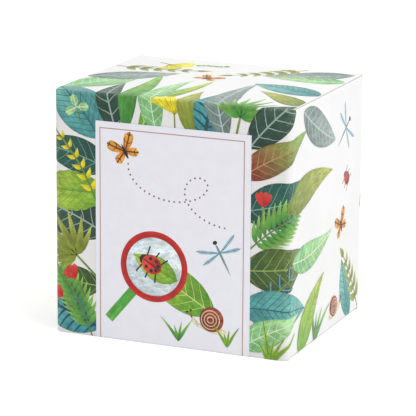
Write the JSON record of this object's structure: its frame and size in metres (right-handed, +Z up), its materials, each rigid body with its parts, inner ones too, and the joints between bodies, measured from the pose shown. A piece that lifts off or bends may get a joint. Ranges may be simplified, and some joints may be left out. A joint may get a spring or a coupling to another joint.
{
  "type": "bug box",
  "caption": "Printed folding carton with a tuck-in lid and dust flaps, holding a clear jar insect viewer with a bayonet lid and a flip-up lens.",
  "frame": {"origin": "middle of the base, on the floor", "axes": "+Z up, -Y towards the front face with the label, +X to the right seen from the front"},
  "size_m": [0.104, 0.085, 0.103],
  "materials": {
    "printed_board": "off-white board with a satin-varnished leaf print",
    "plain_board": "unprinted white board, matt",
    "cradle_card": "uncoated grey-white card",
    "clear_plastic": "clear moulded plastic",
    "lens_plastic": "polished clear plastic",
    "red_plastic": "glossy red moulding",
    "green_plastic": "glossy green moulding",
    "white_plastic": "white disc with a scored square grid",
    "steel": "plain steel pin"
  },
  "bodies": {
    "carton": {"front_panel": "printed_board", "right_panel": "printed_board", "back_panel": "printed_board", "left_panel": "printed_board", "glue_flap": "plain_board", "bottom_front_flap": "printed_board", "bottom_back_flap": "printed_board", "bottom_right_flap": "plain_board", "bottom_left_flap": "plain_board", "cradle": "cradle_card", "jar": "clear_plastic", "grid_disc": "white_plastic"},
    "lid": {"lid_panel": "printed_board"},
    "tuck": {"lid_tuck": "plain_board"},
    "dust_right": {"dust_flap_right": "plain_board"},
    "dust_left": {"dust_flap_left": "plain_board"},
    "viewer_lid": {"jar_lid": "red_plastic", "lid_lens": "lens_plastic", "hinge_pin": "steel"},
    "flip_arm": {"flip_ring": "green_plastic", "flip_lens": "lens_plastic"}
  },
  "joints": [
    {"name": "lid_hinge", "type": "hinge", "parent": "carton", "child": "lid", "pos_m": [0, -0.0416, 0.103], "axis": [1, 0, 0], "range_deg": [0, 180]},
    {"name": "tuck_fold", "type": "hinge", "parent": "lid", "child": "tuck", "pos_m": [0, 0.0412, 0.1021], "axis": [1, 0, 0], "range_deg": [0, 54]},
    {"name": "dust_right_fold", "type": "hinge", "parent": "carton", "child": "dust_right", "pos_m": [0.0511, 0, 0.1022], "axis": [0, 1, 0], "range_deg": [0, 90]},
    {"name": "dust_left_fold", "type": "hinge", "parent": "carton", "child": "dust_left", "pos_m": [-0.0511, 0, 0.1022], "axis": [0, -1, 0], "range_deg": [0, 90]},
    {"name": "viewer_lid_twist", "type": "hinge", "parent": "carton", "child": "viewer_lid", "pos_m": [0, 0, 0.0587], "axis": [0, 0, 1], "range_deg": [0, 50]},
    {"name": "lens_flip", "type": "hinge", "parent": "viewer_lid", "child": "flip_arm", "pos_m": [0, 0.0234, 0.06225], "axis": [-1, 0, 0], "range_deg": [0, 105]}
  ],
  "couplings": [
    {"joint": "tuck_fold", "follows": "lid_hinge", "ratio": 0.3},
    {"joint": "dust_right_fold", "follows": "lid_hinge", "ratio": 0.5},
    {"joint": "dust_left_fold", "follows": "lid_hinge", "ratio": 0.5}
  ]
}
